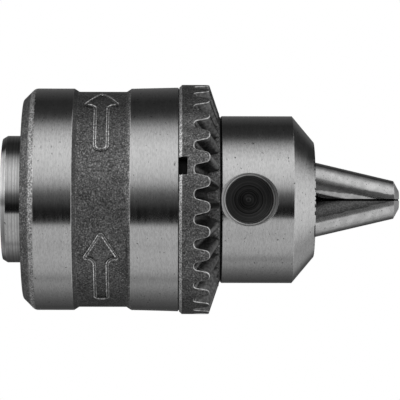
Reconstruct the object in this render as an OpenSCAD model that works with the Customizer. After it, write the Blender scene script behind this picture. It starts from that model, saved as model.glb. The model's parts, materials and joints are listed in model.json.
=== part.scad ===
// Keyed three-jaw drill chuck, plain bearing, with a threaded spindle mount.
// The chuck lies along +X: the spindle mount is at the origin and the jaws point along +X.
// Each module below is drawn along +Z, and laid() turns it on to +X.

/* [Body] */
// Diameter of the rear hub, which the sleeve turns on
hub_d = 21.5; // [18:0.1:26]
// Length of the hub that stands out behind the sleeve
hub_out = 3.54; // [2.5:0.02:5]
// Diameter of the nose
nose_d = 28.36; // [23.6:0.02:34.2]
// Length of the nose, from its rear shoulder to its front face
nose_len = 15.82; // [13:0.02:19]
// Diameter of the nose's flat front face
nose_face_d = 19.5; // [16.2:0.1:22]
// Slope of the nose's front cone, from the axis
nose_cone_deg = 50; // [35:1:65]
// Diameter of the central bore that takes the tool's shank
shank_bore_d = 10; // [8:0.1:12]
// Diameter of the passage for the spindle's retaining screw
screw_hole_d = 5.6; // [4.6:0.1:7]
// Diameter of the three key holes
key_hole_d = 8; // [6.6:0.1:9.6]
// Metal between a key hole's point and the central bore
key_floor = 1.6; // [1.3:0.1:2]
// Metal left between a key hole and the nose's rear shoulder
key_rim = 0.66; // [0.4:0.02:1]

/* [Spindle thread] */
// Major diameter of the spindle thread
spindle_d = 9.525; // [7.9:0.005:12.7]
// Pitch of the spindle thread
spindle_pitch = 1.058; // [0.8:0.001:1.5]
// Depth of the threaded hole
spindle_len = 14; // [11.6:0.1:16.8]

/* [Jaws] */
// Diameter of a jaw
jaw_d = 6; // [5:0.1:7.2]
// Angle of a jaw to the chuck's axis
jaw_angle = 15; // [13:0.5:17]
// How far the closed jaws stand out of the nose
jaw_reach = 14.5; // [12:0.1:17.4]
// Largest tool shank that the jaws open to
capacity = 9.5; // [7.9:0.1:11.4]
// Pitch of the jaw thread, along the jaw
jaw_pitch = 1.5; // [1.25:0.05:1.8]
// Length of full jaw thread in the nut when the jaws are closed, along the chuck
closed_grip = 3.2; // [2.6:0.1:3.9]
// How far inside the nose the thread of the closed jaws starts
thread_hide = 0.4; // [0.2:0.05:1]
// Half width of the flat on each jaw's gripping edge, measured from the axis
grip_flat = 0.15; // [0.1:0.01:0.3]

/* [Nut] */
// Length of the split nut
nut_len = 10.8; // [9:0.1:13]
// Metal outside the nut's thread at its rear end
nut_wall = 2.4; // [2:0.1:2.9]

/* [Sleeve and gear ring] */
// Length of the sleeve
sleeve_len = 26.2; // [21.8:0.1:31.5]
// Thickness of the sleeve around the jaws
sleeve_wall = 1.5; // [1.25:0.05:1.8]
// Thickness of the sleeve's rear end
rear_wall = 2.5; // [2:0.1:3]
// Depth of the band between the two ground bands
recess_deep = 0.54; // [0.3:0.02:0.7]
// Length of the gear ring, at its bore
ring_len = 6.92; // [6.6:0.02:8.3]
// How far the gear ring stands out from the sleeve
ring_lip = 0.46; // [0.3:0.02:0.8]
// Number of teeth on the gear ring
teeth = 29; // [24:1:34]
// Width of the two drive notches in the gear ring
notch_w = 3.05; // [2.5:0.05:3.7]
// Depth of the two drive notches, along the axis
notch_deep = 1.45; // [1.2:0.05:1.75]

/* [Hidden] */
$fn = 96;

// Clearances and small edges
jaw_play = 0.05;      // jaw to its bore, on the radius
hub_play = 0.06;      // sleeve to hub, on the radius
nose_play = 0.1;      // gear ring to nose, on the radius
spigot_play = 0.05;   // nut's front spigot to the gear ring, on the radius
end_play = 0.1;       // nut's rear face to the body's thrust face
front_gap = 0.17;     // gear ring to the nose's shoulder
nut_gap = 0.08;       // nut to the nose's shoulder
floor_play = 0.2;     // nut's thread crest to the floor of the body's groove
crest_play = 0.1;     // nut's thread crest to the jaw's thread root
root_play = 0.12;     // jaw's thread crest to the nut's thread root
relief_play = 0.3;    // jaw's thread crest to the nut's plain bore
flank_play = 0.085;   // between thread flanks, along the jaw
key_play = 0.05;      // nut's drive key to its notch
tail_play = 0.15;     // open jaw to the sleeve's inside
jaw_gap = 0.12;       // closed jaw's face to the plane between two jaws
split_gap = 0.05;     // half of the gap between the nut's halves
edge = 0.2;           // small broken edges
cut = 1;              // how far a cutter runs past a face
far = 60;             // larger than the whole chuck's radius and half its length

// Places along the axis, from the hub's rear face
z_sleeve = hub_out;
z_cavity = z_sleeve + rear_wall;
z_seam = z_sleeve + sleeve_len;
z_ring_front = z_seam + ring_len;
z_shoulder = z_ring_front + front_gap;
z_face = z_shoulder + nose_len;
z_tip = z_face + jaw_reach;
tip_past = 0.35;
z_cross = z_tip - tip_past;               // where the jaws' axes meet
z_nut_front = z_shoulder - nut_gap;
z_nut_rear = z_nut_front - nut_len;
z_thrust = z_nut_rear - end_play;
z_key = z_shoulder + key_hole_d / 2 + key_rim;

// Jaw thread, whose form follows its pitch
jaw_r = jaw_d / 2;
flank_deg = 20;
jaw_root = jaw_r - 0.53 * jaw_pitch;      // thread root, from the jaw's axis
root_flat = 0.37 * jaw_pitch;
nut_crest = jaw_root + crest_play;
nut_root = jaw_r + root_play;
nut_relief = jaw_r + relief_play;
function groove_w(h) = root_flat + 2 * (h - jaw_root) * tan(flank_deg);
function nut_groove_w(h) = jaw_pitch - groove_w(h) + 2 * flank_play;

// A point u along a jaw's axis behind the crossing and h outwards from it, as [radius, z]
function on_jaw(u, h) = [u * sin(jaw_angle) + h * cos(jaw_angle),
                         z_cross - u * cos(jaw_angle) + h * sin(jaw_angle)];
// Radius of the line h outwards from a jaw's axis, at height z
function jaw_line(z, h) = (z_cross - z) * tan(jaw_angle) + h / cos(jaw_angle);
// Distance along the jaw's axis of the point with height z on that line
function jaw_u(z, h) = (z_cross + h * sin(jaw_angle) - z) / cos(jaw_angle);
// Helix through the jaws' threads: u of a thread groove at azimuth a
function thread_u(a) = -jaw_pitch * a / 360;

jaw_open = capacity / 2 - grip_flat;                    // each jaw's radial travel
stroke = jaw_open / sin(jaw_angle);                     // each jaw's travel in its bore
z_tail = z_nut_rear + 3.5;
jaw_len = (z_cross - z_tail) / cos(jaw_angle);          // from the crossing to the tail
z_thread_front = z_face - thread_hide;
z_relief = z_thread_front - (stroke + 0.35) * cos(jaw_angle);     // the nut has no thread in front of this

// Radii
hub_r = hub_d / 2;
nose_r = nose_d / 2;
spigot_min = jaw_line(z_relief, nut_relief) + 1.2;
collar_r = max(nose_r, spigot_min) + nose_play;
spigot_r = collar_r - spigot_play;
nut_r = max(jaw_line(z_nut_rear, nut_root) + nut_wall, collar_r + 1.6);
tail_r = jaw_line(z_relief - closed_grip, jaw_r) + jaw_open;   // reach of the open jaws
cavity_r = max(tail_r + tail_play, nut_r + 0.3);
sleeve_r = cavity_r + sleeve_wall;
sleeve_swell = 0.2;
sleeve_front_r = sleeve_r + sleeve_swell;
ring_r = sleeve_front_r + ring_lip;
barrel_r = nut_r - 1;
journal_r = hub_r + 1.8;

// Gear ring: its face, teeth and roots all point at the key holes' axis
z_face_od = z_key - (z_key - z_ring_front) * ring_r / collar_r;
tooth_pitch = 2 * PI * ring_r / teeth;
tooth_deep = 0.625 * tooth_pitch;
z_root_od = z_face_od - tooth_deep;
function z_root(r) = z_key - (z_key - z_root_od) * r / ring_r;
collar_wall = 0.45;
ring_web = 0.85;
z_step = z_root(nut_r) - ring_web;
tooth_phase = 2.65;
key_phase = -16.75;

// Azimuths, with the near side at -90 degrees
near = -90;
jaw_az = [near - 60, near + 60, near + 180];
key_az = [near, near + 120, near - 120];
drive_az = [near + key_phase, near + key_phase + 180];

jaw_colour = [0.50, 0.49, 0.47];
ground_colour = [0.66, 0.66, 0.65];
forged_colour = [0.36, 0.36, 0.36];

module laid() {
    rotate([0, 90, 0]) children();
}

module turned(outline) {
    rotate_extrude() polygon(outline);
}

// Points of an arc, from angle a0 to a1
function arc(centre, r, a0, a1, steps = 6) =
    [for (i = [0:steps]) centre + r * [cos(a0 + (a1 - a0) * i / steps), sin(a0 + (a1 - a0) * i / steps)]];

module along_jaw() {
    translate([0, 0, z_cross]) rotate([0, 180 - jaw_angle, 0]) children();
}

// ---------- body ----------

module body_blank() {
    floor_rear = jaw_line(z_thrust, nut_crest) - floor_play;
    floor_front = jaw_line(z_shoulder, nut_crest) - floor_play;
    z_barrel_cone = z_cavity + 3;
    nose_cone_len = (nose_r - nose_face_d / 2) / tan(nose_cone_deg);
    turned([
        [0, 0], [hub_r - 0.5, 0], [hub_r, 0.8], [hub_r, z_barrel_cone],
        [barrel_r, z_barrel_cone + barrel_r - hub_r], [barrel_r, z_thrust - edge], [barrel_r - edge, z_thrust],
        [floor_rear, z_thrust], [floor_front, z_shoulder],
        [nose_r - edge, z_shoulder], [nose_r, z_shoulder + edge],
        [nose_r, z_face - nose_cone_len], [nose_face_d / 2, z_face], [0, z_face],
    ]);
}

// A threaded hole with its grooves as separate rings, at the real depth and pitch
module spindle_hole() {
    major = spindle_d / 2;
    minor = major - 0.5413 * spindle_pitch;
    mouth = major + 0.35;
    mouth_deep = 0.45;
    rings = floor((spindle_len - 1.2) / spindle_pitch);
    translate([0, 0, -cut]) cylinder(r = minor, h = spindle_len + cut);
    translate([0, 0, -0.01]) cylinder(r1 = mouth, r2 = minor, h = mouth_deep);
    for (i = [1:rings])
        translate([0, 0, mouth_deep + (i - 0.4) * spindle_pitch])
            turned([[minor - 0.05, -0.40 * spindle_pitch], [major, -spindle_pitch / 16],
                    [major, spindle_pitch / 16], [minor - 0.05, 0.40 * spindle_pitch]]);
}

// A blind hole with a drill's point. Its mouth is broken all round by hand, up and down as well as along the
// chuck, so two countersinks a little apart make it
module key_hole() {
    point = key_hole_d / 2 * tan(31);
    bottom = shank_bore_d / 2 + key_floor + point;
    sink_out = 0.78;
    sink_deep = 1.2;
    sink_apart = 0.35;
    translate([0, 0, bottom]) cylinder(d = key_hole_d, h = nose_r - bottom + cut);
    translate([0, 0, bottom - point]) cylinder(r1 = 0, r2 = key_hole_d / 2, h = point);
    for (side = [-1, 1])
        translate([0, side * sink_apart, nose_r - sink_deep])
            cylinder(r1 = key_hole_d / 2 + sink_out - sink_deep, r2 = key_hole_d / 2 + sink_out + cut,
                     h = sink_deep + cut);
}

module body() {
    z_shank = spindle_len + 4;
    color(ground_colour) laid() difference() {
        body_blank();
        spindle_hole();
        translate([0, 0, spindle_len - cut]) cylinder(d = screw_hole_d, h = 4 + 2 * cut);
        translate([0, 0, z_shank]) cylinder(d = shank_bore_d, h = far);
        for (a = jaw_az)
            rotate([0, 0, a]) along_jaw() translate([0, 0, -far])
                cylinder(r = jaw_r + jaw_play, h = 2 * far + jaw_len);
        for (a = key_az)
            rotate([0, 0, a]) translate([0, 0, z_key]) rotate([0, 90, 0]) key_hole();
    }
}

// ---------- jaws ----------

// The round bar that a jaw is made from, with its tail's edge broken
module jaw_bar() {
    break = 0.4;
    along_jaw() {
        translate([0, 0, -2]) cylinder(r = jaw_r, h = jaw_len + 2 - break);
        translate([0, 0, jaw_len - break]) cylinder(r1 = jaw_r, r2 = jaw_r - break, h = break);
    }
}

// The closed jaws' tips are turned together to a blunt cone
module tip_envelope() {
    tip_flat = 1.55;
    slope = 0.548;
    turned([[0, 0], [far, 0], [far, z_tip - (far - tip_flat) * slope], [tip_flat, z_tip], [0, z_tip]]);
}

// One groove of the jaw thread, as a ring around the chuck tilted by the thread's lead
module jaw_groove(u) {
    top = jaw_r + 0.3;
    place = on_jaw(u, jaw_r);
    lead = asin(jaw_pitch * cos(jaw_angle) / (2 * PI * place[0]));
    translate([0, 0, place[1]]) rotate([lead, 0, 0]) translate([0, 0, -place[1]])
        turned([on_jaw(u - groove_w(jaw_root) / 2, jaw_root), on_jaw(u - groove_w(top) / 2, top),
                on_jaw(u + groove_w(top) / 2, top), on_jaw(u + groove_w(jaw_root) / 2, jaw_root)]);
}

module jaw(az) {
    u_front = jaw_u(z_thread_front, jaw_r);
    first = ceil((u_front - thread_u(az)) / jaw_pitch);
    last = floor((jaw_len - thread_u(az)) / jaw_pitch);
    color(jaw_colour) laid() rotate([0, 0, az]) difference() {
        intersection() {
            difference() {
                jaw_bar();
                for (k = [first:last])
                    jaw_groove(thread_u(az) + k * jaw_pitch);
            }
            tip_envelope();
            translate([-jaw_open, 0, 0]) cylinder(r = tail_r, h = 2 * far);
        }
        for (side = [0, 1])
            mirror([0, side, 0]) rotate([0, 0, 60])
                translate([-far, -jaw_gap, -cut]) cube([2 * far, far, 2 * far]);
        translate([grip_flat - far, -far / 2, -cut]) cube([far, far, 2 * far]);
    }
}

// ---------- nut ----------

// The thread groove that the jaws' teeth run in: one helix swept round the nut's inner cone
module nut_thread() {
    steps = 36;
    inner = nut_crest - 0.15;
    u_rear = jaw_u(z_nut_rear, jaw_r) + jaw_pitch / 2;
    u_front = jaw_u(z_relief, jaw_r) - jaw_pitch / 2;
    a_start = -360 * (u_rear - jaw_pitch / 2) / jaw_pitch;
    count = ceil((u_rear - u_front) / jaw_pitch * steps);
    section = [[-nut_groove_w(inner) / 2, inner], [-nut_groove_w(nut_root) / 2, nut_root],
               [nut_groove_w(nut_root) / 2, nut_root], [nut_groove_w(inner) / 2, inner]];
    points = [for (i = [0:count], s = section)
        let (a = a_start + i * 360 / steps,
             p = on_jaw(thread_u(a) + jaw_pitch / 2 + s[0], s[1]))
        [p[0] * cos(a), p[0] * sin(a), p[1]]];
    sides = [for (i = [0:count - 1], k = [0:3])
        let (b = 4 * i, n = (k + 1) % 4)
        each [[b + n, b + k, b + 4 + n], [b + 4 + n, b + k, b + 4 + k]]];
    ends = [[0, 1, 2, 3], [4 * count + 3, 4 * count + 2, 4 * count + 1, 4 * count]];
    polyhedron(points, concat(sides, ends), convexity = 10);
}

module nut() {
    difference() {
        union() {
            turned([
                [jaw_line(z_nut_rear, nut_crest), z_nut_rear], [nut_r - 0.3, z_nut_rear], [nut_r, z_nut_rear + 0.3],
                [nut_r, z_step], [spigot_r, z_step], [spigot_r, z_nut_front - edge],
                [spigot_r - edge, z_nut_front], [jaw_line(z_nut_front, nut_relief), z_nut_front],
                [jaw_line(z_relief, nut_relief), z_relief], [jaw_line(z_relief, nut_crest), z_relief],
            ]);
            for (a = drive_az)
                rotate([0, 0, a]) translate([nut_r - 0.5, -notch_w / 2 + key_play, z_seam + key_play])
                    cube([1.5, notch_w - 2 * key_play, notch_deep - 2 * key_play]);
        }
        nut_thread();
    }
}

// Half of the nut: it was broken along the plane midway between its two drive keys
module nut_half(side) {
    color(jaw_colour) laid() intersection() {
        nut();
        rotate([0, 0, drive_az[side]]) translate([split_gap, -far, 0]) cube([far, 2 * far, 2 * far]);
    }
}

// ---------- sleeve ----------

module sleeve() {
    bore = hub_r + hub_play;
    recess_r = sleeve_r - recess_deep;
    z_recess = z_sleeve + 8.55;
    recess_len = sleeve_len - 16.5;
    ramp = 0.85;
    chamfer = 1.97;
    round_band = 1.2;               // between the rear chamfer and the band
    round_face = 0.5;               // between the rear chamfer and the rear face
    z_band = z_sleeve + chamfer;
    half_turn = tan(22.5);
    z_seat = z_nut_rear - 1;
    z_journal = z_cavity + 2;
    color(forged_colour) laid() turned(concat(
        [[bore + edge, z_sleeve]],
        arc([sleeve_r - chamfer - round_face * half_turn, z_sleeve + round_face], round_face, -90, -45, 3),
        arc([sleeve_r - round_band, z_band + round_band * half_turn], round_band, -45, 0),
        [[sleeve_r, z_recess], [recess_r, z_recess + ramp],
         [recess_r, z_recess + recess_len - ramp], [sleeve_r, z_recess + recess_len],
         [sleeve_front_r, z_seam - edge / 2], [sleeve_front_r - edge / 2, z_seam],
         [nut_r, z_seam], [nut_r, z_seat], [cavity_r, z_seat],
         [cavity_r, z_cavity + 0.6], [cavity_r - 0.6, z_cavity],
         [journal_r, z_cavity], [journal_r, z_journal], [bore, z_journal], [bore, z_sleeve + edge]]
    ));
}

// ---------- gear ring ----------

// Half of the outline of a space between two teeth, as [across, up from the root]
tooth_half =
    let (flat = 0.035 * tooth_pitch, root = 0.154 * tooth_pitch, crown = 0.213 * tooth_pitch,
         centre = tooth_pitch / 2 - 0.02 * tooth_pitch)
    concat(arc([flat, root], root, -90, -20, 4),
           arc([centre, tooth_deep - crown], crown, 160, 105, 5),
           [[centre, tooth_deep + 0.3]]);

// The space between two teeth: its outline at the rim shrinks towards the gear's apex
module tooth_space() {
    n = len(tooth_half);
    outline = concat([for (p = tooth_half) p], [for (i = [n - 1:-1:0]) [-tooth_half[i][0], tooth_half[i][1]]]);
    m = len(outline);
    near_end = (collar_r - 0.4) / ring_r;
    far_end = 1.06;
    points = [for (k = [near_end, far_end], p = outline)
        [ring_r * k, p[0] * k, z_key + (z_root_od + p[1] - z_key) * k]];
    sides = [for (i = [0:m - 1]) [i, m + i, m + (i + 1) % m, (i + 1) % m]];
    polyhedron(points, concat(sides, [[for (i = [0:m - 1]) i], [for (i = [m - 1:-1:0]) m + i]]), convexity = 4);
}

module gear_ring() {
    slope = (z_key - z_ring_front) / collar_r;
    collar_out = collar_r + collar_wall;
    color(forged_colour) laid() difference() {
        union() {
            difference() {
                turned([[nut_r, z_seam], [sleeve_front_r, z_seam], [ring_r, z_seam + ring_lip],
                        [ring_r, z_face_od], [collar_r, z_ring_front], [collar_r, z_step], [nut_r, z_step]]);
                for (i = [0:teeth - 1])
                    rotate([0, 0, near + tooth_phase + (i + 0.5) * 360 / teeth]) tooth_space();
            }
            turned([[collar_r, z_step], [collar_out, z_step], [collar_out, z_key - slope * collar_out],
                    [collar_r, z_ring_front]]);
        }
        for (a = drive_az)
            rotate([0, 0, a]) translate([nut_r - cut, -notch_w / 2, z_seam - cut])
                cube([ring_r - nut_r + 2 * cut, notch_w, notch_deep + cut]);
    }
}

body();
jaw(jaw_az[0]);  // jaw_1
jaw(jaw_az[1]);  // jaw_2
jaw(jaw_az[2]);  // jaw_3
nut_half(0);  // nut_half_a
nut_half(1);  // nut_half_b
sleeve();
gear_ring();
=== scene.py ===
# %% [markdown]
# # A keyed drill chuck, ready for its portrait
#
# The chuck arrives as a finished frame: eight solid pieces at their real size, in metres. It lies
# along +X, with the spindle thread at the origin and the jaws pointing to the right. This script
# gives the pieces their finishes, rebuilds the toothed ring with the soft edges that the eye looks
# for, adds the turning arrows, and sets up a small studio. Nothing is moved or resized.

# %% Load the frame
import json
import math

import bmesh
import bpy
from mathutils import Matrix, Vector


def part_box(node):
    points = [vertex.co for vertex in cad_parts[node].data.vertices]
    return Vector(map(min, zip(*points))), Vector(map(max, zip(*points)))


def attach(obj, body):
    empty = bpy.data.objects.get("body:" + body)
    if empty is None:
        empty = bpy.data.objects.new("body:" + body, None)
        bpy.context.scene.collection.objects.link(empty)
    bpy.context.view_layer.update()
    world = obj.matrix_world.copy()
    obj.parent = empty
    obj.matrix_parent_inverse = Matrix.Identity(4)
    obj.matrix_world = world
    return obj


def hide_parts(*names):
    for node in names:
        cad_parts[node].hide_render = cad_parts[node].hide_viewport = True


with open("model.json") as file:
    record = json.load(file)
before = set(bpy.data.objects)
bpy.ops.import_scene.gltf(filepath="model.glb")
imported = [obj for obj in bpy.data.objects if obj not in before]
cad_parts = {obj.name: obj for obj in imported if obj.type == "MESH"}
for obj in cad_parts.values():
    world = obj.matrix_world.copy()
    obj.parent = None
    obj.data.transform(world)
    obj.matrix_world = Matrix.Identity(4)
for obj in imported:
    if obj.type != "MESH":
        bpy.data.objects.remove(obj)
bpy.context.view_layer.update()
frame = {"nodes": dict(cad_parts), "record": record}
MM = 0.001

sleeve_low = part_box("sleeve")[0]
ring_low, ring_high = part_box("gear_ring")
nose_face_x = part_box("body")[1][0]
tip_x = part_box("jaw_1")[1][0]
key_hole = next(mount for mount in frame["record"]["mounts"] if mount["name"] == "key_hole_1")
key_x = key_hole["pos_m"][0]
key_r = key_hole["dims"]["r_mm"] * MM
print("the key holes' axis crosses the chuck's at", round(key_x / MM, 2), "mm")

# %% [markdown]
# ## The camera
#
# The chuck is seen square from the side with a long lens, so that the near and the far edges of the
# sleeve almost line up. The lens stands level with the axis and a little to the left of the middle,
# which is why the rim of each step bulges slightly away from it.

# %% Place the camera
FRAME_WIDTH = 68 * MM
DISTANCE = 493 * MM
SENSOR_MM = 36
CAMERA_ROLL = math.radians(0.12)
stand = Vector((29.2 * MM, -DISTANCE, 0))
target = Vector((33.4 * MM, 0, -0.08 * MM))

camera_data = bpy.data.cameras.new("camera")
camera_data.sensor_width = SENSOR_MM
camera_data.lens = SENSOR_MM * DISTANCE / FRAME_WIDTH
camera_data.clip_start = 10 * MM
camera_data.clip_end = 10
camera = bpy.data.objects.new("camera", camera_data)
bpy.context.scene.collection.objects.link(camera)
look = (target - stand).to_track_quat("-Z", "Y").to_matrix().to_4x4()
camera.matrix_world = Matrix.Translation(stand) @ look @ Matrix.Rotation(CAMERA_ROLL, 4, "Z")
bpy.context.scene.camera = camera
print("lens", round(camera_data.lens, 1), "mm")


# %% [markdown]
# ## One helper for nodes, one for colours
#
# Every shader below is a small graph. One function adds a node of any kind. Its inputs are filled in
# the order in which Blender shows them: with a number, with a colour such as #c8c6c2, with a link
# from another node, or with None, which leaves the input alone. The keywords are the node's own
# settings. The function returns an output, ready to be the next node's input.

# %% Node and colour helpers
def hex_to_linear(code):
    """A colour such as #c8c6c2 as the linear numbers that shaders use."""
    parts = [int(code[i:i + 2], 16) / 255 for i in (1, 3, 5)]
    linear = [c / 12.92 if c <= 0.04045 else ((c + 0.055) / 1.055) ** 2.4 for c in parts]
    return (*linear, 1)


def add(tree, kind, *values, out=None, **settings):
    """Add a node with its settings and inputs, and return the output named out, or the first."""
    node = tree.nodes.new("ShaderNode" + kind)
    for name, setting in settings.items():
        setattr(node, name, setting)
    for socket, value in zip([s for s in node.inputs if s.enabled], values):
        if isinstance(value, bpy.types.NodeSocket):
            tree.links.new(value, socket)
        elif value is not None:
            socket.default_value = hex_to_linear(value) if isinstance(value, str) else value
    if out:
        return node.outputs[out]
    return next((socket for socket in node.outputs if socket.enabled), None)


# %% [markdown]
# A few settings come back again and again, so they get short names. A MapRange node with SMOOTH is 0
# below its first limit and 1 above its second, with a soft change between. A Mix node blends two
# numbers, or with COLOURS two colours, or with NORMALS two normals. The others are sums.

# %% Names for the settings that repeat
SMOOTH = {"interpolation_type": "SMOOTHSTEP"}
COLOURS = {"data_type": "RGBA"}
NORMALS = {"data_type": "VECTOR"}
PLUS = {"operation": "ADD"}
MINUS = {"operation": "SUBTRACT"}
TIMES = {"operation": "MULTIPLY"}
TIMES_PLUS = {"operation": "MULTIPLY_ADD"}
UNSIGNED = {"operation": "ABSOLUTE"}
LENGTH = {"operation": "LENGTH"}
ANGLE = {"operation": "ARCTAN2"}

# %% [markdown]
# ## The studio
#
# Bare metal shows the room more than it shows itself. A round bar reflects the directions around its
# own axis in order, so the long bright and dark stripes on the chuck are a strip of the room wrapped
# round it. The room is therefore painted as a world: going round the chuck's axis from behind the
# camera, there is a dark gap at eye level, a broad soft box in front and above, a dark ceiling
# behind, and a pale table below. Both ends of the room, to the left and right, are white walls.

# %% How bright the room is
# Around the chuck's axis, in degrees: 0 is the camera, 90 is straight up.
ROOM_AROUND = (
    (-180, 0.10), (-152, 0.06), (-130, 0.12), (-115, 0.21), (-98, 0.38), (-89, 0.31), (-80, 0.50),
    (-60, 0.60), (-50, 0.55), (-42, 0.60), (-27, 0.62), (-24.8, 0.04), (-20, 0.008), (-10, 0.015),
    (-4, 0.06), (3, 0.11), (8, 0.18), (14, 0.42), (20, 0.64), (27, 0.78), (40, 0.90), (55, 0.94),
    (68, 0.76), (77, 0.55), (84, 0.32), (92, 0.09), (101, 0.04), (122, 0.03), (140, 0.07), (160, 0.12),
)
# On the left wall by height, from -1, the floor, to 1, the ceiling. The right wall is even.
LEFT_WALL = ((-0.9, 0.15), (-0.5, 0.40), (-0.18, 0.62), (-0.12, 0.30), (-0.03, 0.32), (0.04, 0.60),
             (0.12, 0.95), (0.25, 1.35), (0.6, 1.2), (0.9, 0.2))
RIGHT_WALL = 0.88
# Where both walls turn the corner to the back of the room.
CORNER_TOP = 0.03
CORNER_LOW = 0.40
print("the room is brightest at", max(ROOM_AROUND, key=lambda stop: stop[1])[0], "degrees")


def paint_ramp(ramp, stops, span):
    """Give a colour ramp its greys, at places that run from minus half the span to plus half."""
    elements = ramp.node.color_ramp.elements
    for index, (place, grey) in enumerate(stops):
        place = place / span + 0.5
        stop = elements[index] if index < 2 else elements.new(place)
        stop.position = place
        stop.color = (grey, grey, grey, 1)


# %% Paint the room
world = bpy.data.worlds.new("studio")
bpy.context.scene.world = world
world.use_nodes = True
room = world.node_tree
room.nodes.clear()
along, back, up = add(room, "SeparateXYZ", add(room, "TexCoord", out="Generated")).node.outputs

turn = add(room, "Math", up, add(room, "Math", back, -1, **TIMES), **ANGLE)
around = add(room, "ValToRGB", add(room, "Math", turn, 0.5 / math.pi, 0.5, **TIMES_PLUS))
paint_ramp(around, ROOM_AROUND, 360)
left_wall = add(room, "ValToRGB", add(room, "Math", up, 0.5, 0.5, **TIMES_PLUS))
paint_ramp(left_wall, LEFT_WALL, 2)

on_left = add(room, "MapRange", along, 0.2, -0.2, **SMOOTH)
wall = add(room, "Mix", on_left, RIGHT_WALL, left_wall)
is_low = add(room, "MapRange", up, 0.05, -0.05, **SMOOTH)
corner = add(room, "Mix", is_low, CORNER_TOP, CORNER_LOW)
ends = add(room, "Mix", add(room, "MapRange", back, 0.22, 0.53, **SMOOTH), wall, corner)
to_ends = add(room, "MapRange", add(room, "Math", along, **UNSIGNED), 0.28, 0.62, **SMOOTH)
painted = add(room, "Background", add(room, "Mix", to_ends, around, ends))

white = add(room, "Background", "#ffffff")
shown = add(room, "LightPath", out="Is Camera Ray")
add(room, "OutputWorld", add(room, "MixShader", shown, painted, white))
bpy.context.scene.view_settings.view_transform = "Standard"
print("the room is painted with", len(room.nodes), "nodes")

# %% [markdown]
# The chuck is held by its spindle, so it doesn't stand on anything. A pale round table lies a little
# way below it. The steel doesn't mirror the table, because the painted room already holds one.

# %% The table
TABLE_RADIUS = 150 * MM
TABLE_X = 30 * MM
TABLE_DROP = 62 * MM


def make_object(shape, name, *materials):
    """Turn a bmesh into an object of the scene, with its materials in order."""
    mesh = bpy.data.meshes.new(name)
    shape.to_mesh(mesh)
    for material in materials:
        mesh.materials.append(material)
    made = bpy.data.objects.new(name, mesh)
    bpy.context.scene.collection.objects.link(made)
    return made


pale = bpy.data.materials.new("pale_table")
pale.use_nodes = True
paint = pale.node_tree.nodes["Principled BSDF"].inputs
paint["Base Color"].default_value = hex_to_linear("#f2f2f0")
paint["Roughness"].default_value = 0.9
paint["Emission Color"].default_value = hex_to_linear("#ffffff")
paint["Emission Strength"].default_value = 0.45

sheet = bmesh.new()
bmesh.ops.create_circle(sheet, cap_ends=True, segments=96, radius=TABLE_RADIUS)
bmesh.ops.translate(sheet, verts=sheet.verts, vec=(TABLE_X, 0, -TABLE_DROP))
table = make_object(sheet, "table", pale)
table.visible_glossy = False
table.visible_diffuse = False
print("the table is", round(TABLE_DROP / MM), "mm below the axis")

# %% [markdown]
# ## Patterns that the steels share
#
# A turning or grinding tool leaves fine grooves that run round the chuck. In object coordinates,
# noise that is squeezed along X and stretched across it draws them: each streak is a fraction of a
# millimetre wide and many millimetres long. Grain from moulding is the same noise, unstretched.


# %% Streaks and grain
def start_material(name, colour, roughness):
    """A metal with its graph and its shader."""
    material = bpy.data.materials.new(name)
    material.use_nodes = True
    shader = material.node_tree.nodes["Principled BSDF"]
    shader.inputs["Base Color"].default_value = hex_to_linear(colour)
    shader.inputs["Metallic"].default_value = 1
    shader.inputs["Roughness"].default_value = roughness
    return material, material.node_tree, shader


def coat(shader, colour=None, rough=None, normal=None):
    """Link a skin to a shader."""
    for name, socket in (("Base Color", colour), ("Roughness", rough), ("Normal", normal)):
        if socket is not None:
            shader.id_data.links.new(socket, shader.inputs[name])


def noise(tree, size, detail=2, stretch=1, rough=0.5):
    """Noise whose blobs are size metres along X and stretch times that across it."""
    scale = (1 / size, 1 / (size * stretch), 1 / (size * stretch))
    mapped = add(tree, "Mapping", add(tree, "TexCoord", out="Object"), None, None, scale)
    return add(tree, "TexNoise", mapped, 1, detail, rough)


def from_axis(tree):
    """X along the chuck, and the distance from its axis."""
    x, y, z = add(tree, "SeparateXYZ", add(tree, "TexCoord", out="Object")).node.outputs
    return x, add(tree, "VectorMath", add(tree, "CombineXYZ", None, y, z), **LENGTH)


# %% [markdown]
# ## Sintered steel: the ring and the unground parts of the sleeve
#
# The ring is pressed from iron powder and sintered, which leaves a dull, sandy skin with a grain of
# a quarter of a millimetre. Grains that were pressed flat are smoother, and the noise also paints a
# glint into their colour: a painted highlight on those grains. The skin is a function, because the
# forged parts of the sleeve look the same.

# %% The sandy skin, and the ring's material
GRAIN = 0.27 * MM
CLOUDS = 2.6 * MM


def sandy_skin(tree):
    """Colour, roughness and normal of sintered steel."""
    grain = noise(tree, GRAIN, detail=3, rough=0.65)
    cloud = add(tree, "MapRange", noise(tree, CLOUDS), 0.30, 0.75, **SMOOTH)
    dark = add(tree, "Mix", cloud, "#444444", "#565656", **COLOURS)
    light = add(tree, "Mix", cloud, "#767676", "#8a8a8a", **COLOURS)
    raised = add(tree, "MapRange", grain, 0.36, 0.60, **SMOOTH)
    colour = add(tree, "Mix", raised, dark, light, **COLOURS)
    # painted highlight: the flattest grains are lightened to a pale grey, a painted glint; they are also
    # less rough
    painted_glints = add(tree, "MapRange", grain, 0.56, 0.74, **SMOOTH)
    colour = add(tree, "Mix", painted_glints, colour, "#c8c8c8", **COLOURS)
    rough = add(tree, "Math", painted_glints, -0.12, 0.54, **TIMES_PLUS)
    return colour, rough, add(tree, "Bump", 0.9, 0.045 * MM, None, grain)


sintered, graph, shader = start_material("sintered_steel", "#6c6c6c", 0.5)
coat(shader, *sandy_skin(graph))
print("sintered steel, grain", round(GRAIN / MM, 2), "mm")

# %% [markdown]
# ## Ground steel: the bright bands and the nose
#
# A grinding wheel has skimmed the two high bands of the sleeve and the nose. Ground steel is bright
# and almost a mirror, and its grooves are so fine that they only drag the reflections a little. A
# few pits are left where the wheel didn't reach down.


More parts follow.
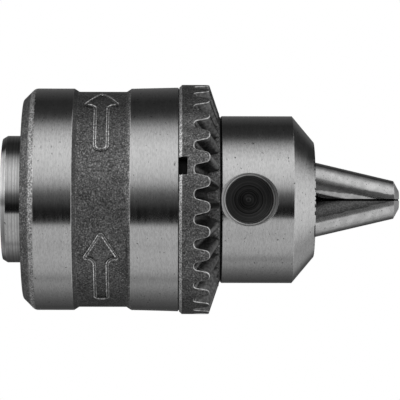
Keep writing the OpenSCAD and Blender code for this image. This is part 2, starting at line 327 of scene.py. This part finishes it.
# %% The ground skin
def ground_skin(tree, below=None):
    """Colour, roughness and normal of ground steel, over another normal if one is given."""
    streaks = noise(tree, 0.30 * MM, stretch=40)
    flecks = noise(tree, 0.18 * MM, stretch=3.5)
    smears = noise(tree, 0.50 * MM, detail=3, stretch=7)
    pits = add(tree, "MapRange", noise(tree, 0.38 * MM, detail=1, stretch=1.6), 0.70, 0.78, **SMOOTH)
    streaky = add(tree, "MapRange", streaks, 0.3, 0.7, **SMOOTH)
    clean = add(tree, "Mix", streaky, "#c7c7c7", "#cecece", **COLOURS)
    clean = add(tree, "Mix", add(tree, "MapRange", flecks, 0.60, 0.34, **SMOOTH), clean, "#bcbcbc",
                **COLOURS)
    colour = add(tree, "Mix", pits, clean, "#6a6a6a", **COLOURS)
    rough = add(tree, "Math", smears, 0.14, 0.09, **TIMES_PLUS)
    soft = add(tree, "Bump", 1, 0.006 * MM, None, smears, below)
    return colour, rough, add(tree, "Bump", 1, 0.001 * MM, None, streaks, soft)


# %% [markdown]
# ## The sleeve: forged, with two ground bands
#
# The sleeve is one forging with both skins. The wheel only touches what stands proud, so the distance
# from the axis decides which skin shows, and a little noise makes its border wander.

# %% Where the wheel touched the sleeve
BAND_R = 18.80 * MM
BAND_START = sleeve_low[0] + 2.2 * MM
BAND_MIDDLE_X = sleeve_low[0] + 13.4 * MM
WANDER_R = 0.05 * MM
WANDER_X = 0.8 * MM

sleeve_steel, graph, shader = start_material("forged_and_ground_steel", "#9a9a9a", 0.4)
x, radius = from_axis(graph)
ragged = add(graph, "Math", noise(graph, 0.9 * MM, detail=3), 0.5, **MINUS)
proud = add(graph, "Math", ragged, WANDER_R, radius, **TIMES_PLUS)
reach = add(graph, "MapRange", proud, BAND_R - 0.055 * MM, BAND_R - 0.030 * MM, **SMOOTH)
start = add(graph, "Math", ragged, WANDER_X, x, **TIMES_PLUS)
started = add(graph, "MapRange", start, BAND_START - 0.05 * MM, BAND_START + 0.05 * MM, **SMOOTH)
polished = add(graph, "Math", reach, started, **TIMES)
print("the ground bands start", round((BAND_START - sleeve_low[0]) / MM, 1), "mm from the rear")

# %% [markdown]
# What the wheel missed isn't all alike. Handling has rubbed the edges bright: the strip behind the
# rear band, and the slope that climbs out of the recess at its front. The slope at the recess's rear
# kept its dark forging scale instead. Rubbing reaches the high grains first, so both bright places
# are speckled with the sandy skin's own grain.

# %% The rubbed and the scaly places
STRIP_START = sleeve_low[0] + 1.4 * MM
RECESS_SIDE = BAND_START + 4 * MM

ramp_top = add(graph, "MapRange", radius, BAND_R - 0.36 * MM, BAND_R - 0.08 * MM, **SMOOTH)
front_half = add(graph, "MapRange", x, BAND_MIDDLE_X - 1 * MM, BAND_MIDDLE_X + 1 * MM, **SMOOTH)
rubbed_slope = add(graph, "Math", ramp_top, add(graph, "Math", front_half, 0.3, **TIMES), **TIMES)
strip = add(graph, "MapRange", x, STRIP_START - 0.2 * MM, STRIP_START + 0.2 * MM, **SMOOTH)
rear_end = add(graph, "MapRange", x, BAND_START + 1 * MM, BAND_START + 0.8 * MM, **SMOOTH)
rubbed = add(graph, "Mix", rear_end, rubbed_slope, add(graph, "Math", strip, 0.85, **TIMES))
grain = noise(graph, GRAIN, detail=3, rough=0.65)
high_grain = add(graph, "MapRange", grain, 0.40, 0.62, **SMOOTH)
speckled = add(graph, "Mix", high_grain, "#828282", "#efefef", **COLOURS)

above_floor = add(graph, "MapRange", radius, BAND_R - 0.52 * MM, BAND_R - 0.40 * MM, **SMOOTH)
on_ramp = add(graph, "Math", above_floor, add(graph, "Math", 1, front_half, **MINUS), **TIMES)
in_recess = add(graph, "MapRange", x, RECESS_SIDE, RECESS_SIDE + 0.2 * MM, **SMOOTH)
scale_amount = add(graph, "Math", add(graph, "Math", on_ramp, in_recess, **TIMES), 0.6, **TIMES)
print("the rubbed strip is", round((BAND_START - STRIP_START) / MM, 1), "mm wide")

# %% Lay the sleeve's skins over each other
sandy, bright = sandy_skin(graph), ground_skin(graph)
scaly = add(graph, "Mix", scale_amount, sandy[0], "#4a4a4a", **COLOURS)
worn = add(graph, "Mix", rubbed, scaly, speckled, **COLOURS)
coat(shader, add(graph, "Mix", polished, worn, bright[0], **COLOURS),
     add(graph, "Mix", polished, sandy[1], bright[1]),
     add(graph, "Mix", polished, sandy[2], bright[2], **NORMALS))
print("the sleeve's steel has", len(graph.nodes), "nodes")

# %% [markdown]
# ## The body: turned hub, ground nose, drilled holes
#
# The body is turned from bar. The hub keeps the lathe's grooves, a third of a millimetre apart. The
# nose is ground. The drill that made the key holes left rings round their own axes, and the inside
# of the holes is painted dark grey: painted shade, with the rings in it. There are three of them,
# so the angle round the chuck is wrapped to a third of a turn first, and one hole's rings then
# serve all three.
#
# A file or a stone breaks every sharp edge of such a part by a tenth of a millimetre. That is too
# small to be worth faces, so a Bevel node turns the normal smoothly round the edges instead.

# %% Find the places on the body
EDGE_BREAK = 0.12 * MM
HUB_END = sleeve_low[0] + 0.5 * MM


def beside_key_hole(tree):
    """How far to the side of the nearest key hole's axis a point lies."""
    _, y, z = add(tree, "SeparateXYZ", add(tree, "TexCoord", out="Object")).node.outputs
    angle = add(tree, "Math", z, add(tree, "Math", y, -1, **TIMES), **ANGLE)
    third = add(tree, "Math", angle, math.pi / 3, -math.pi / 3, operation="WRAP")
    return add(tree, "Math", from_axis(tree)[1], add(tree, "Math", third, operation="SINE"), **TIMES)


body_steel, graph, shader = start_material("turned_and_ground_steel", "#cccccc", 0.2)
x, radius = from_axis(graph)
ahead = add(graph, "Math", x, key_x, **MINUS)
beside = add(graph, "CombineXYZ", ahead, beside_key_hole(graph))
from_key = add(graph, "VectorMath", beside, **LENGTH)
in_hole = add(graph, "MapRange", from_key, key_r + 0.04 * MM, key_r - 0.02 * MM, **SMOOTH)
on_hub = add(graph, "MapRange", x, HUB_END + 0.1 * MM, HUB_END - 0.1 * MM, **SMOOTH)
edges = add(graph, "Bevel", EDGE_BREAK, samples=4)
print("the hub shows up to", round(HUB_END / MM, 1), "mm, edges broken by", round(EDGE_BREAK / MM, 2), "mm")

# %% The nose, the lathe's grooves and the drill's rings
LATHE_GROOVES = 0.34 * MM
DRILL_RINGS = 0.22 * MM

ground_colour, ground_rough, ground_normal = ground_skin(graph, edges)
lathe = add(graph, "TexNoise", add(graph, "CombineXYZ", x), 1 / LATHE_GROOVES, 1)
hub_normal = add(graph, "Bump", 1, 0.02 * MM, None, lathe, edges)
rings = add(graph, "TexNoise", add(graph, "CombineXYZ", from_key), 1 / DRILL_RINGS, 1)
hole_normal = add(graph, "Bump", 1, 0.05 * MM, None, rings)
dark_rings = add(graph, "MapRange", rings, 0.38, 0.62, **SMOOTH)
# painted shade: the inside of the key holes is coloured dark grey, with the drill's rings in it
hole_shade_colour = add(graph, "Mix", dark_rings, "#343434", "#565656", **COLOURS)
print("lathe grooves", round(LATHE_GROOVES / MM, 2), "mm, drill rings", round(DRILL_RINGS / MM, 2), "mm")

# %% [markdown]
# The edge of the nose's face has been knocked in use, which leaves a broken ring of dark nicks. The
# countersinks of the key holes are scraped by hand: they are duller than the nose, and bright and
# grey rings alternate.

# %% Nicks and countersinks
NOSE_FACE_R = 9.75 * MM
NOSE_R = 14.18 * MM
SINK_R = key_r + 1.1 * MM

off_edge = add(graph, "Math", add(graph, "Math", radius, NOSE_FACE_R, **MINUS), **UNSIGNED)
at_edge = add(graph, "MapRange", off_edge, 0.34 * MM, 0.16 * MM, **SMOOTH)
at_face = add(graph, "MapRange", x, nose_face_x - 0.35 * MM, nose_face_x - 0.2 * MM, **SMOOTH)
nicks = add(graph, "MapRange", noise(graph, 0.7 * MM, detail=1), 0.50, 0.57, **SMOOTH)
nicked = add(graph, "Math", add(graph, "Math", at_edge, at_face, **TIMES), nicks, **TIMES)

near_hole = add(graph, "MapRange", from_key, SINK_R, SINK_R - 0.1 * MM, **SMOOTH)
below_nose = add(graph, "MapRange", radius, NOSE_R - 0.02 * MM, NOSE_R - 0.06 * MM, **SMOOTH)
in_sink = add(graph, "Math", near_hole, below_nose, **TIMES)
only_sink = add(graph, "Math", in_sink, add(graph, "Math", 1, in_hole, **MINUS), **TIMES)
bright_rings = add(graph, "MapRange", rings, 0.35, 0.65, **SMOOTH)
scraped = add(graph, "Mix", bright_rings, "#8c8c8c", "#f0f0f0", **COLOURS)
print("the countersinks reach", round(SINK_R / MM, 1), "mm from their holes' axes")

# %% Lay the body's skins over each other
colour = add(graph, "Mix", nicked, ground_colour, "#222222", **COLOURS)
grooves = add(graph, "MapRange", lathe, 0.4, 0.6, **SMOOTH)
colour = add(graph, "Mix", grooves, colour, add(graph, "Mix", on_hub, colour, "#a8a8a8", **COLOURS),
             **COLOURS)
colour = add(graph, "Mix", in_hole, colour, hole_shade_colour, **COLOURS)
colour = add(graph, "Mix", only_sink, colour, scraped, **COLOURS)
rough = add(graph, "Mix", in_sink, ground_rough, 0.40)
rough = add(graph, "Mix", in_hole, rough, 0.34)
rough = add(graph, "Mix", on_hub, rough, 0.11)
normal = add(graph, "Mix", in_hole, ground_normal, hole_normal, **NORMALS)
normal = add(graph, "Mix", on_hub, normal, hub_normal, **NORMALS)
coat(shader, colour, rough, normal)
print("the body's steel has", len(graph.nodes), "nodes")

# %% [markdown]
# ## Hardened jaws
#
# The jaws are case-hardened round bars. Heat treatment leaves them a little darker than the nose,
# with a freckle of tiny pits. Freckles, spots and polish come from noise at three sizes.

# %% The jaws' skin
FRECKLE = 0.22 * MM

jaw_steel, graph, shader = start_material("hardened_steel", "#a8a8a8", 0.15)
freckles = noise(graph, FRECKLE, detail=3, rough=0.6)
spots = add(graph, "MapRange", noise(graph, 1.3 * MM), 0.35, 0.70, **SMOOTH)
skin = add(graph, "Mix", spots, "#bebebe", "#d4d4d4", **COLOURS)
pits = add(graph, "MapRange", freckles, 0.60, 0.72, **SMOOTH)
skin = add(graph, "Mix", pits, skin, "#5c5c5c", **COLOURS)
print("hardened steel, freckles", round(FRECKLE / MM, 2), "mm")

# %% [markdown]
# Beside the joints the jaws are painted darker: painted shade and a painted dark reflection, where
# each jaw faces its neighbour. Two jaws meet in a plane through the chuck's axis and a key hole's, so
# the distance beside that plane, with a little noise, says where the painted shade lies: a wedge on
# one side of the joint and a stripe on the other. Both widen away from the tips. The joint itself
# is painted black, as painted shade in the gap.

# %% Painted shade beside the joints
JAWS_CROSS_X = tip_x - 0.35 * MM
LOW_SLOPE = 0.235
HIGH_MIDDLE, HIGH_SLOPE = 0.42 * MM, 0.138
HIGH_HALF, HIGH_SPREAD = 0.28 * MM, 0.030
SHADE_WAVES = 0.5 * MM

aside = beside_key_hole(graph)
x, radius = from_axis(graph)
behind = add(graph, "Math", JAWS_CROSS_X, x, **MINUS)
waves = add(graph, "Math", noise(graph, 0.8 * MM, detail=3), SHADE_WAVES, -SHADE_WAVES / 2, **TIMES_PLUS)
wavy = add(graph, "Math", aside, waves, **PLUS)

low_edge = add(graph, "Math", behind, LOW_SLOPE, wavy, **TIMES_PLUS)
low_side = add(graph, "MapRange", aside, 0, -0.02 * MM, **SMOOTH)
low_painted_shade = add(graph, "MapRange", low_edge, -0.25 * MM, 0.15 * MM, **SMOOTH)
low_painted_shade = add(graph, "Math", low_painted_shade, low_side, **TIMES)

middle = add(graph, "Math", behind, HIGH_SLOPE, HIGH_MIDDLE, **TIMES_PLUS)
half = add(graph, "Math", behind, HIGH_SPREAD, HIGH_HALF, **TIMES_PLUS)
off_middle = add(graph, "Math", add(graph, "Math", wavy, middle, **MINUS), **UNSIGNED)
high_painted_shade = add(graph, "Math", off_middle, half, operation="DIVIDE")
high_painted_shade = add(graph, "MapRange", high_painted_shade, 1.25, 0.8, **SMOOTH)

# painted shade: the wedge and the stripe darken the jaws' colour towards a dark grey
painted_shade = add(graph, "Math", low_painted_shade, add(graph, "Math", high_painted_shade, 0.85, **TIMES), operation="MAXIMUM")
blotches = add(graph, "MapRange", freckles, 0.45, 0.60, **SMOOTH)
shade_tone = add(graph, "Mix", blotches, "#303030", "#5a5a5a", **COLOURS)
skin = add(graph, "Mix", add(graph, "Math", painted_shade, 0.92, **TIMES), skin, shade_tone, **COLOURS)
# painted shade: the jaws are coloured near-black right beside the joint
off_plane = add(graph, "Math", aside, **UNSIGNED)
joint_shade = add(graph, "MapRange", off_plane, 0.24 * MM, 0.14 * MM, **SMOOTH)
skin = add(graph, "Mix", joint_shade, skin, "#101010", **COLOURS)
print("the jaws' axes meet", round(JAWS_CROSS_X / MM, 1), "mm along the chuck")

# %% [markdown]
# The very tips are ground off to a cone after hardening, and left matt. The cone's slope and place
# are those of the solid jaws, so the finish changes exactly at its edge.

# %% The jaws' tips
TIP_SLOPE = 0.548
TIP_CONE_X = tip_x + 0.75 * MM

cone_line = add(graph, "Math", radius, TIP_SLOPE, x, **TIMES_PLUS)
at_tip = add(graph, "MapRange", cone_line, TIP_CONE_X, TIP_CONE_X + 0.08 * MM, **SMOOTH)
rough = add(graph, "Mix", painted_shade, add(graph, "Math", freckles, 0.18, 0.06, **TIMES_PLUS), 0.38)
coat(shader, add(graph, "Mix", at_tip, skin, "#b4b4b4", **COLOURS),
     add(graph, "Mix", at_tip, rough, 0.55),
     add(graph, "Bump", 0.5, 0.010 * MM, None, freckles, add(graph, "Bevel", EDGE_BREAK, samples=4)))
print("the jaws' steel has", len(graph.nodes), "nodes")

# %% [markdown]
# ## The nut, and three finishes for edges and flanks
#
# The nut is never seen whole, only deep in the ring's notches, so it is painted almost black:
# painted shade for the notches. The other three are the sintered ring again, where it has been
# touched. The teeth's rims are worn bright by the key. The ring's rear edge and the arrows' edges
# are rubbed, so the grain still shows; on the arrows' rims the light colour is also a painted
# highlight. The flanks of the teeth were pressed against the die, which makes them smoother; their
# darker colour is painted shade in the spaces between the teeth.

# %% Their materials
# painted shade: the nut is coloured almost black for the shade deep in the notches where it shows
nut_steel, graph, shader = start_material("nut_painted_shade_black", "#1c1c1c", 0.4)
oil = noise(graph, 1.5 * MM)
coat(shader, rough=add(graph, "Math", oil, 0.4, 0.25, **TIMES_PLUS),
     normal=add(graph, "Bump", 0.4, 0.02 * MM, None, oil))

worn_steel, graph, shader = start_material("worn_bright_edge", "#d8d7d5", 0.3)
rub = add(graph, "MapRange", noise(graph, 0.5 * MM), 0.3, 0.7, **SMOOTH)
coat(shader, add(graph, "Mix", rub, "#9a9a9a", "#e4e4e4", **COLOURS))

# Rubbed sintered steel for the ring's rear edge; on the arrows' rims its light colour is also a painted
# highlight
rubbed_and_highlight_steel, graph, shader = start_material("rubbed_and_highlighted_sintered_edge", "#c4c4c4", 0.42)
grain = noise(graph, GRAIN, detail=3, rough=0.65)
high_grain = add(graph, "MapRange", grain, 0.40, 0.60, **SMOOTH)
coat(shader, add(graph, "Mix", high_grain, "#868686", "#ececec", **COLOURS),
     normal=add(graph, "Bump", 0.7, 0.02 * MM, None, grain))

# painted shade: the flanks are coloured dark grey for the shade between the teeth; they are also smoother
flank_steel, graph, shader = start_material("pressed_tooth_flank_with_painted_shade", "#8a8a8a", 0.30)
grain = noise(graph, 0.5 * MM, detail=3)
high_grain = add(graph, "MapRange", grain, 0.35, 0.70, **SMOOTH)
coat(shader, add(graph, "Mix", high_grain, "#4c4c4c", "#6e6e6e", **COLOURS),
     normal=add(graph, "Bump", 0.5, 0.02 * MM, None, grain))
print(len(bpy.data.materials), "materials so far")

# %% Give the CAD pieces their finishes
finishes = {"body": body_steel, "sleeve": sleeve_steel, "gear_ring": sintered,
            "nut_half_a": nut_steel, "nut_half_b": nut_steel}
for name, node in frame["nodes"].items():
    node.data.materials.clear()
    node.data.materials.append(finishes.get(name, jaw_steel))
print(len(frame["nodes"]), "pieces have their finishes")

# %% [markdown]
# ## The toothed ring
#
# The ring's bevel teeth mesh with a key whose axis crosses the chuck's at the key holes, so every
# line of a tooth points at that crossing. One outline at the rim is enough: a round root, a straight
# flank and a round crown. Scaled towards the crossing it sweeps out the tooth, pulled straight back
# it makes the rim, and repeated 29 times it closes the ring. Real teeth have soft, rubbed rims, so
# the edge between tooth and rim gets a small rounded bevel in a brighter steel.

# %% Sizes of the ring, from its box and the key holes
TEETH = 29
TOOTH_PHASE = math.radians(2.65)
COLLAR_R = 14.28 * MM
COLLAR_WALL = 0.45 * MM
COLLAR_CHAMFER = 0.10 * MM
NUT_R = 16.58 * MM
NUT_STEP = 0.85 * MM
RIM_CHAMFER = 0.46 * MM
SEAM = 0.11 * MM
SEAM_R = 18.8 * MM
HAIR = 0.05 * MM
ring_r = ring_high[2]
ring_rear, ring_front = ring_low[0], ring_high[0]
pitch = 2 * math.pi * ring_r / TEETH
depth = 0.625 * pitch
crown_x = key_x - (key_x - ring_front) * ring_r / COLLAR_R
root_x = crown_x - depth
step_x = key_x - (key_x - root_x) * NUT_R / ring_r - NUT_STEP
print("tooth pitch", round(pitch / MM, 2), "mm, depth", round(depth / MM, 2), "mm")


# %% The outline of one space between two teeth, as distances across and up
ROOT_ROUND = 0.154 * pitch
ROOT_ASIDE = 0.035 * pitch
CROWN_ROUND = 0.213 * pitch
CROWN_ASIDE = 0.48 * pitch


def arc(centre, radius, start, end, steps):
    """Points on an arc, from one angle in degrees to another."""
    turns = [math.radians(start + (end - start) * i / steps) for i in range(steps + 1)]
    return [(centre[0] + radius * math.cos(t), centre[1] + radius * math.sin(t)) for t in turns]


half_space = arc((ROOT_ASIDE, ROOT_ROUND), ROOT_ROUND, -90, -20, 6)
half_space += arc((CROWN_ASIDE, depth - CROWN_ROUND), CROWN_ROUND, 160, 90, 8)
half_space += [(0.5 * pitch, depth)]
mirrored = [(-across, up) for across, up in reversed(half_space)]
outline = mirrored + [(0, 0)] + half_space
print("the outline has", len(outline), "points")

# %% [markdown]
# Each step below extrudes the last row of edges and moves the new row: towards the crossing for the
# teeth, then forward along the thin collar, in to its bore, back to the step for the nut, and out
# again to the rear edge. The seam behind the ring is a shallow recess in its rear face.

# %% Sweep one space
SKIN, WORN, FLANK, RUBBED = range(4)
FLANK_ROWS = 5
ring = bmesh.new()


def extrude_row(row, finish=SKIN, x=None, radius=None, shrink=None):
    """Extrude a row of edges, and put the new one at a place along X, at a distance from the axis,
    or nearer to the crossing."""
    made = bmesh.ops.extrude_edge_only(ring, edges=row)["geom"]
    verts = [v for v in made if isinstance(v, bmesh.types.BMVert)]
    if shrink is not None:
        crossing = Matrix.Translation((-key_x, 0, 0))
        bmesh.ops.scale(ring, vec=(shrink,) * 3, space=crossing, verts=verts)
    for vert in verts:
        if x is not None:
            vert.co.x = x
        if radius is not None:
            vert.co.yz = vert.co.yz.normalized() * radius
    for face in (f for f in made if isinstance(f, bmesh.types.BMFace)):
        face.material_index = finish
    return [e for e in made if isinstance(e, bmesh.types.BMEdge)]


rim = []
for across, up in outline:
    angle = across / ring_r
    rim.append(ring.verts.new((root_x + up, -ring_r * math.cos(angle), ring_r * math.sin(angle))))
rim_edges = [ring.edges.new(pair) for pair in zip(rim, rim[1:])]

row = rim_edges
for _ in range(FLANK_ROWS):
    row = extrude_row(row, FLANK, shrink=((COLLAR_R + COLLAR_WALL) / ring_r) ** (1 / FLANK_ROWS))
collar_top = key_x - (key_x - ring_front) * (COLLAR_R + COLLAR_WALL) / COLLAR_R + HAIR
row = extrude_row(row, x=collar_top)
row = extrude_row(row, x=ring_front - HAIR, radius=COLLAR_R + COLLAR_CHAMFER)
row = extrude_row(row, x=ring_front - HAIR - COLLAR_CHAMFER, radius=COLLAR_R)
row = extrude_row(row, x=step_x)
row = extrude_row(row, radius=NUT_R)
row = extrude_row(row, x=ring_rear)
row = extrude_row(row, radius=SEAM_R)
row = extrude_row(row, x=ring_rear + SEAM)
row = extrude_row(row, radius=ring_r - RIM_CHAMFER)
row = extrude_row(row, RUBBED, x=ring_rear + SEAM + RIM_CHAMFER, radius=ring_r)
extrude_row(rim_edges, x=ring_rear + SEAM + RIM_CHAMFER)
print("one space between two teeth has", len(ring.faces), "faces")

# %% Repeat it round the axis, and close the ring
WELD = 0.002 * MM
bmesh.ops.spin(ring, geom=ring.faces[:] + ring.edges[:] + ring.verts[:], cent=(0, 0, 0),
               axis=(1, 0, 0), dvec=(0, 0, 0), steps=TEETH - 1,
               angle=2 * math.pi * (TEETH - 1) / TEETH, use_merge=False, use_duplicate=True)
bmesh.ops.remove_doubles(ring, verts=ring.verts, dist=WELD)
bmesh.ops.rotate(ring, verts=ring.verts, cent=(0, 0, 0),
                 matrix=Matrix.Rotation(-TOOTH_PHASE, 3, "X"))
bmesh.ops.recalc_face_normals(ring, faces=ring.faces)
print("ring:", len(ring.faces), "faces,", sum(not e.is_manifold for e in ring.edges), "open edges")

# %% [markdown]
# The rim edge is found by where it lies: on the outside, in front of the roots. A bevel of a tenth of
# a millimetre with three segments rounds it, and its faces take the second material.

# %% Round the rim
EDGE_ROUND = 0.11 * MM
NEAR = 0.01 * MM
front_rim = {v for v in ring.verts
             if abs(v.co.yz.length - ring_r) < NEAR and v.co.x > root_x - NEAR}
to_round = [e for e in ring.edges if e.verts[0] in front_rim and e.verts[1] in front_rim]
bmesh.ops.bevel(ring, geom=to_round, offset=EDGE_ROUND, offset_type="OFFSET", segments=3, profile=0.5,
                affect="EDGES", material=WORN, clamp_overlap=True)
toothed_ring = make_object(ring, "toothed_ring", sintered, worn_steel, flank_steel, rubbed_and_highlight_steel)
print(len(to_round), "edges of the rim are rounded")

# %% [markdown]
# Two notches in the rear edge let the nut's drive keys in. A box cut away with the Boolean modifier
# makes each one, and the modifier is applied so that the mesh is final.

# %% Cut the two notches
NOTCH_WIDTH = 3.05 * MM
NOTCH_DEPTH = 1.45 * MM
NOTCH_HEIGHT = 6 * MM
NOTCH_TURN = math.radians(16.75)
RING_CREASE = math.radians(38)

cutter = bmesh.new()
for half_turn in (0, math.pi):
    block = bmesh.ops.create_cube(cutter, size=1)["verts"]
    bmesh.ops.scale(cutter, vec=(2 * NOTCH_DEPTH, NOTCH_HEIGHT, NOTCH_WIDTH), verts=block)
    bmesh.ops.translate(cutter, vec=(ring_rear, -ring_r, 0), verts=block)
    bmesh.ops.rotate(cutter, verts=block, cent=(0, 0, 0),
                     matrix=Matrix.Rotation(half_turn - NOTCH_TURN, 3, "X"))
cutter_object = make_object(cutter, "notch_cutter")
cut = toothed_ring.modifiers.new("notches", "BOOLEAN")
cut.operation = "DIFFERENCE"
cut.solver = "EXACT"
cut.object = cutter_object
bpy.context.view_layer.update()
evaluated = toothed_ring.evaluated_get(bpy.context.evaluated_depsgraph_get())
finished = bpy.data.meshes.new_from_object(evaluated)
toothed_ring.modifiers.clear()
toothed_ring.data = finished
bpy.data.objects.remove(cutter_object)
finished.shade_smooth()
finished.set_sharp_from_angle(angle=RING_CREASE)
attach(toothed_ring, "sleeve")
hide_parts("gear_ring")
print("toothed ring:", len(finished.polygons), "faces after the notches")

# %% [markdown]
# ## Turning arrows
#
# The recessed band carries four arrows that show which way to turn the sleeve to tighten the jaws.
# They are thin raised ribs. Each starts flat, as a face cut to the arrow's outline. Its corners are
# rounded, an inset leaves only the rim, and the rim is cut into short lengths so that it can bend.
# Last it is raised and rolled round the sleeve.

# %% The flat arrow, along X, around the middle of the band
ARROW_LENGTH = 15.5 * MM
HEAD_LENGTH = 5.4 * MM
HEAD_WIDTH = 6.6 * MM
SHAFT_WIDTH = 2.6 * MM
RIB_WIDTH = 0.50 * MM
CORNER = 0.98 * MM
CUTS = 16

head_base = ARROW_LENGTH / 2 - HEAD_LENGTH
half_outline = [(ARROW_LENGTH / 2, 0), (head_base, HEAD_WIDTH / 2), (head_base, SHAFT_WIDTH / 2),
                (-ARROW_LENGTH / 2, SHAFT_WIDTH / 2)]
arrow = bmesh.new()
corners = [arrow.verts.new((u, v, 0)) for u, v in half_outline]
corners += [arrow.verts.new((u, -v, 0)) for u, v in reversed(half_outline[1:])]
arrow.faces.new(corners)
bmesh.ops.bevel(arrow, geom=arrow.verts[:], offset=CORNER, offset_type="OFFSET", segments=4,
                profile=0.5, affect="VERTICES", material=-1)
arrow.faces.ensure_lookup_table()
flat = arrow.faces[0]
bmesh.ops.inset_region(arrow, faces=[flat], thickness=RIB_WIDTH, use_boundary=True,
                       use_even_offset=True)
bmesh.ops.delete(arrow, geom=[flat], context="FACES_ONLY")
for i in range(1, CUTS):
    everything = arrow.verts[:] + arrow.edges[:] + arrow.faces[:]
    bmesh.ops.bisect_plane(arrow, geom=everything, plane_no=(1, 0, 0),
                           plane_co=((i / CUTS - 0.5) * ARROW_LENGTH, 0, 0))
print("flat arrow:", len(arrow.faces), "faces")

# %% Raise it and soften its top
RIB_HEIGHT = 0.28 * MM
SUNK = 0.06 * MM
LIP_WIDTH = 0.14 * MM
LIP_DROP = 0.10 * MM

top = bmesh.ops.extrude_face_region(arrow, geom=arrow.faces[:])["geom"]
top_verts = [v for v in top if isinstance(v, bmesh.types.BMVert)]
top_faces = [f for f in top if isinstance(f, bmesh.types.BMFace)]
bmesh.ops.translate(arrow, verts=top_verts, vec=(0, 0, RIB_HEIGHT + SUNK))
lips = bmesh.ops.inset_region(arrow, faces=top_faces, thickness=LIP_WIDTH, depth=-LIP_DROP,
                              use_boundary=True, use_even_offset=True)["faces"]
# painted highlight: the arrows' rims take the light rubbed steel
for face in lips:
    face.material_index = 1
print(len(lips), "faces of the arrow's edges are rubbed")

# %% [markdown]
# On the near side the arrows point up. A key that is turned clockwise in the near hole drives the
# sleeve that way, and that closes the jaws.

# %% Copy it and roll each copy round the sleeve
ARROWS = 4
ARROW_TURN = math.radians(-40)
BAND_FLOOR_R = 18.26 * MM
ARROW_CREASE = math.radians(50)

first = arrow.verts[:] + arrow.edges[:] + arrow.faces[:]
copies = [arrow.verts[:]]
for _ in range(ARROWS - 1):
    made = bmesh.ops.duplicate(arrow, geom=first)["geom"]
    copies.append([v for v in made if isinstance(v, bmesh.types.BMVert)])
for number, verts in enumerate(copies):
    arrow_middle = ARROW_TURN + number * 2 * math.pi / ARROWS
    for vert in verts:
        turned = arrow_middle + vert.co.x / BAND_FLOOR_R
        away = BAND_FLOOR_R - SUNK + vert.co.z
        vert.co = (BAND_MIDDLE_X + vert.co.y, -away * math.cos(turned), away * math.sin(turned))
bmesh.ops.recalc_face_normals(arrow, faces=arrow.faces)
arrows = make_object(arrow, "turning_arrows", sintered, rubbed_and_highlight_steel)
arrows.data.shade_smooth()
arrows.data.set_sharp_from_angle(angle=ARROW_CREASE)
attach(arrows, "sleeve")
print("turning arrows:", len(arrows.data.polygons), "faces")
